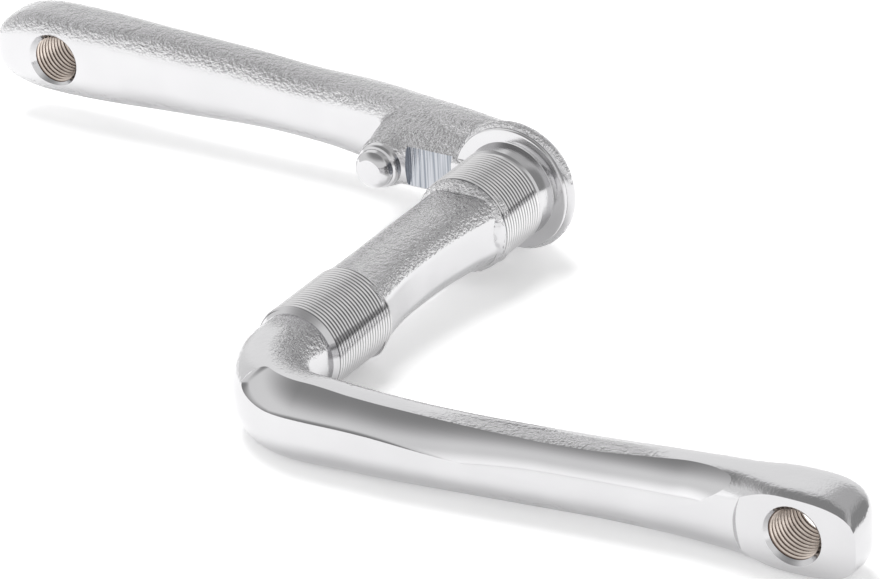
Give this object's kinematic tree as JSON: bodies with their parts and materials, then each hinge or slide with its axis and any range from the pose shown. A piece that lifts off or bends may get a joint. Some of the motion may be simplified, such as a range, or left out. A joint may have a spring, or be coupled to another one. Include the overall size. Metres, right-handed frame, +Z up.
{
  "type": "one-piece crank",
  "caption": "Chromed one-piece bicycle crank: spindle, both arms and sprocket pin in one forging, with threaded journals and tapped pedal eyes.",
  "frame": {"origin": "on the spindle axis, at the middle of the smooth sprocket seat", "axes": "+Y along the spindle axis towards the right-hand sprocket side, +X along the left arm, +Z up out of the plane that both arms lie in"},
  "size_m": [0.3132, 0.1551, 0.0332],
  "materials": {
    "chrome_steel": "bright chrome over forged steel, turned journals, grainy forged skin on the sides"
  },
  "bodies": {
    "root": {"crank": "chrome_steel"}
  },
  "joints": []
}
